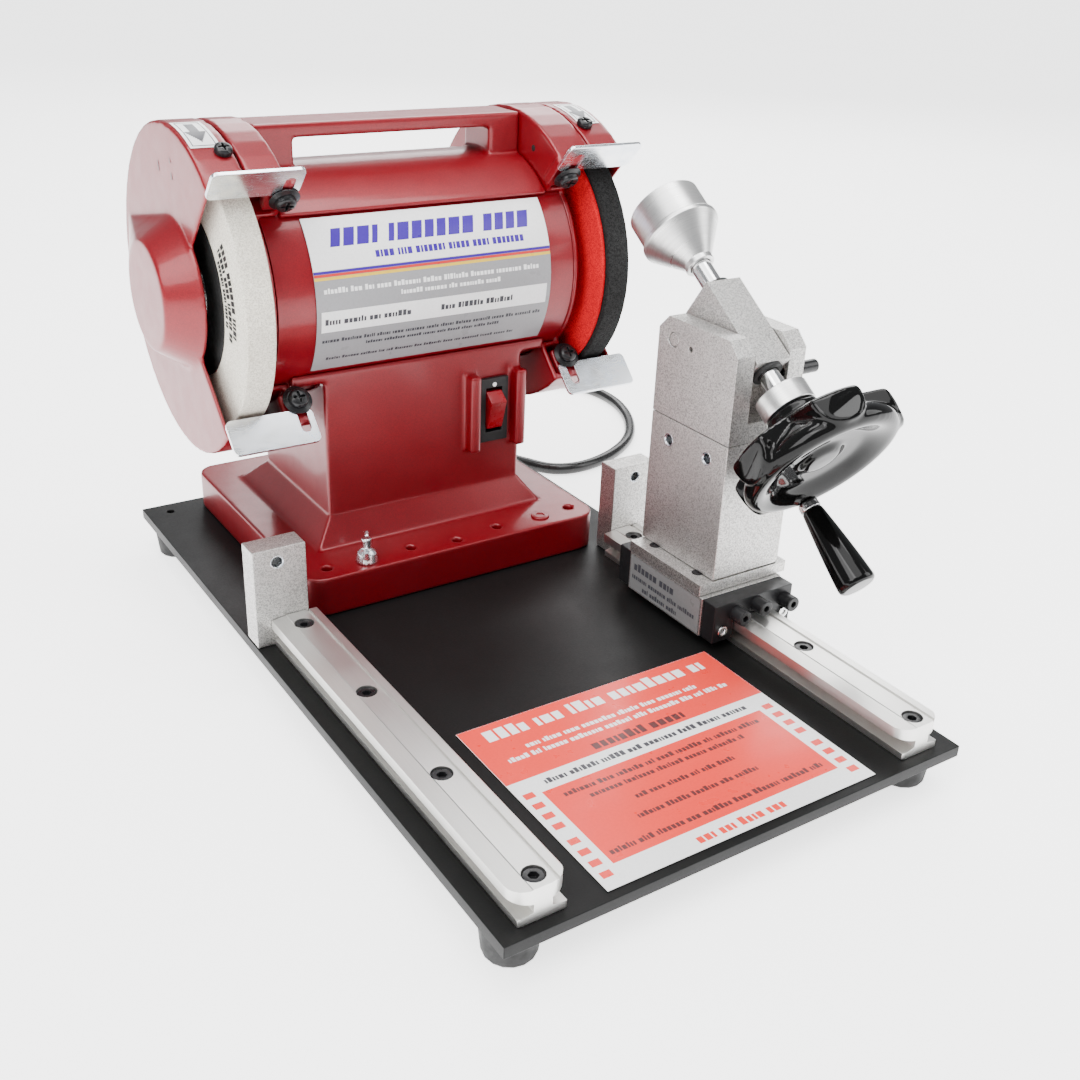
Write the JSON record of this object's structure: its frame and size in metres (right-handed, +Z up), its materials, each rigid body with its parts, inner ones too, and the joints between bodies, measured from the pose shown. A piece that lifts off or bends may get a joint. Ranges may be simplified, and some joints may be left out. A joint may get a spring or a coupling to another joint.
{
  "type": "rotary blade sharpener",
  "caption": "Bench grinder on a flat base plate with guide rails and a sliding, tilting blade spindle turned by a handwheel.",
  "frame": {"origin": "bottom centre of the box around the machine without its free cord", "axes": "+X to the machine's right, +Y to its back, +Z up"},
  "size_m": [0.3581, 0.5156, 0.2258],
  "materials": {
    "base_plate": "satin black powder coat",
    "foot_front_left": "matt",
    "foot_front_right": "matt",
    "foot_rear_left": "matt",
    "foot_rear_right": "matt",
    "safety_label": "printed film",
    "rail_left": "milled",
    "rail_right": "milled",
    "stop_block_left": "tumbled",
    "stop_block_right": "tumbled",
    "pedestal": "deep metallic red",
    "motor_housing": "deep metallic red",
    "nameplate": "printed satin sheet",
    "top_frame": "deep metallic red",
    "guard_inner_left": "deep metallic red",
    "guard_inner_right": "deep metallic red",
    "guard_cover_left": "deep metallic red",
    "guard_cover_right": "deep metallic red",
    "guard_screw_left": "black oxide",
    "guard_screw_right": "black oxide",
    "shield_upper_left": "bright zinc plate",
    "shield_lower_left": "bright zinc plate",
    "shield_upper_right": "bright zinc plate",
    "shield_lower_right": "bright zinc plate",
    "shield_screw_upper_left": "black oxide",
    "shield_screw_lower_left": "black oxide",
    "shield_screw_upper_right": "black oxide",
    "shield_screw_lower_right": "black oxide",
    "stator_core": "laminated",
    "rotor_core": "laminated",
    "motor_shaft": "turned",
    "bearing_left": "ground",
    "bearing_right": "ground",
    "grinding_wheel": "bonded abrasive",
    "honing_wheel": "matt",
    "honing_wheel_face": "matt",
    "flange_nut_left": "zinc plated",
    "flange_nut_right": "zinc plated",
    "switch_bezel": "moulded",
    "switch_rocker": "moulded",
    "wing_screw": "bright zinc plate",
    "carriage_body": "anodised",
    "carriage_cap_front": "moulded",
    "carriage_cap_rear": "moulded",
    "adapter_plate": "milled",
    "post_lower": "tumbled",
    "post_upper": "tumbled",
    "spindle_housing": "tumbled",
    "spindle_shaft": "ground",
    "blade_hub": "turned",
    "spindle_collar": "turned",
    "handwheel": "polished",
    "handle_pin": "polished",
    "handle_grip": "polished",
    "pivot_pin": "ground",
    "lock_screw": "black oxide",
    "strain_relief": "matt",
    "power_cord": "smooth",
    "cord_coil": "smooth",
    "plug": "moulded"
  },
  "bodies": {
    "base": {"base_plate": "base_plate", "foot_front_left": "foot_front_left", "foot_front_right": "foot_front_right", "foot_rear_left": "foot_rear_left", "foot_rear_right": "foot_rear_right", "safety_label": "safety_label", "rail_left": "rail_left", "rail_right": "rail_right", "stop_block_left": "stop_block_left", "stop_block_right": "stop_block_right", "pedestal": "pedestal", "motor_housing": "motor_housing", "nameplate": "nameplate", "top_frame": "top_frame", "guard_inner_left": "guard_inner_left", "guard_inner_right": "guard_inner_right", "guard_cover_left": "guard_cover_left", "guard_cover_right": "guard_cover_right", "guard_screw_left": "guard_screw_left", "guard_screw_right": "guard_screw_right", "shield_screw_upper_left": "shield_screw_upper_left", "shield_screw_lower_left": "shield_screw_lower_left", "shield_screw_upper_right": "shield_screw_upper_right", "shield_screw_lower_right": "shield_screw_lower_right", "stator_core": "stator_core", "bearing_left": "bearing_left", "bearing_right": "bearing_right", "switch_bezel": "switch_bezel", "strain_relief": "strain_relief", "power_cord": "power_cord", "cord_coil": "cord_coil", "plug": "plug"},
    "rotor": {"motor_shaft": "motor_shaft", "rotor_core": "rotor_core", "grinding_wheel": "grinding_wheel", "honing_wheel": "honing_wheel", "honing_wheel_face": "honing_wheel_face", "flange_nut_left": "flange_nut_left", "flange_nut_right": "flange_nut_right"},
    "rocker": {"switch_rocker": "switch_rocker"},
    "shield_ul": {"shield_upper_left": "shield_upper_left"},
    "shield_ll": {"shield_lower_left": "shield_lower_left"},
    "shield_ur": {"shield_upper_right": "shield_upper_right"},
    "shield_lr": {"shield_lower_right": "shield_lower_right"},
    "wing": {"wing_screw": "wing_screw"},
    "carriage": {"carriage_body": "carriage_body", "carriage_cap_front": "carriage_cap_front", "carriage_cap_rear": "carriage_cap_rear", "adapter_plate": "adapter_plate", "post_lower": "post_lower", "post_upper": "post_upper", "pivot_pin": "pivot_pin"},
    "lock": {"lock_screw": "lock_screw"},
    "spindle_head": {"spindle_housing": "spindle_housing"},
    "spindle": {"spindle_shaft": "spindle_shaft", "blade_hub": "blade_hub", "spindle_collar": "spindle_collar", "handwheel": "handwheel", "handle_pin": "handle_pin"},
    "grip": {"handle_grip": "handle_grip"}
  },
  "joints": [
    {"name": "rotor_spin", "type": "hinge", "parent": "base", "child": "rotor", "pos_m": [-0.11128, 0.10475, 0.1539], "axis": [1, 0, 0], "continuous": true},
    {"name": "rocker_tilt", "type": "hinge", "parent": "base", "child": "rocker", "pos_m": [0.03047, 0.06795, 0.0906], "axis": [-1, 0, 0], "range_deg": [0, 18]},
    {"name": "shield_upper_left_slide", "type": "slide", "parent": "base", "child": "shield_ul", "axis": [0, 0.6884, -0.7254], "range_m": [0, 0.004]},
    {"name": "shield_lower_left_slide", "type": "slide", "parent": "base", "child": "shield_ll", "axis": [0, 0.7133, 0.7009], "range_m": [0, 0.0015]},
    {"name": "shield_upper_right_slide", "type": "slide", "parent": "base", "child": "shield_ur", "axis": [0, 0.6884, -0.7254], "range_m": [0, 0.0055]},
    {"name": "shield_lower_right_slide", "type": "slide", "parent": "base", "child": "shield_lr", "axis": [0, 0.7133, 0.7009], "range_m": [0, 0.0015]},
    {"name": "wing_screw_turn", "type": "hinge", "parent": "base", "child": "wing", "pos_m": [-0.05028, 0.03895, 0.0399], "axis": [0, 0, 1], "continuous": true},
    {"name": "carriage_slide", "type": "slide", "parent": "base", "child": "carriage", "axis": [0, 1, 0], "range_m": [-0.098, 0.015]},
    {"name": "lock_screw_turn", "type": "hinge", "parent": "carriage", "child": "lock", "pos_m": [0.10372, -0.06305, 0.1387], "axis": [1, 0, 0], "continuous": true},
    {"name": "head_tilt", "type": "hinge", "parent": "carriage", "child": "spindle_head", "pos_m": [0.08432, -0.02575, 0.1459], "axis": [-1, 0, 0], "range_deg": [0, 10]},
    {"name": "spindle_spin", "type": "hinge", "parent": "spindle_head", "child": "spindle", "pos_m": [0.08432, -0.08125, 0.1286], "axis": [0, -0.8211, -0.5707], "continuous": true},
    {"name": "grip_spin", "type": "hinge", "parent": "spindle", "child": "grip", "pos_m": [0.09432, -0.09726, 0.08155], "axis": [0, -0.8211, -0.5707], "continuous": true}
  ]
}
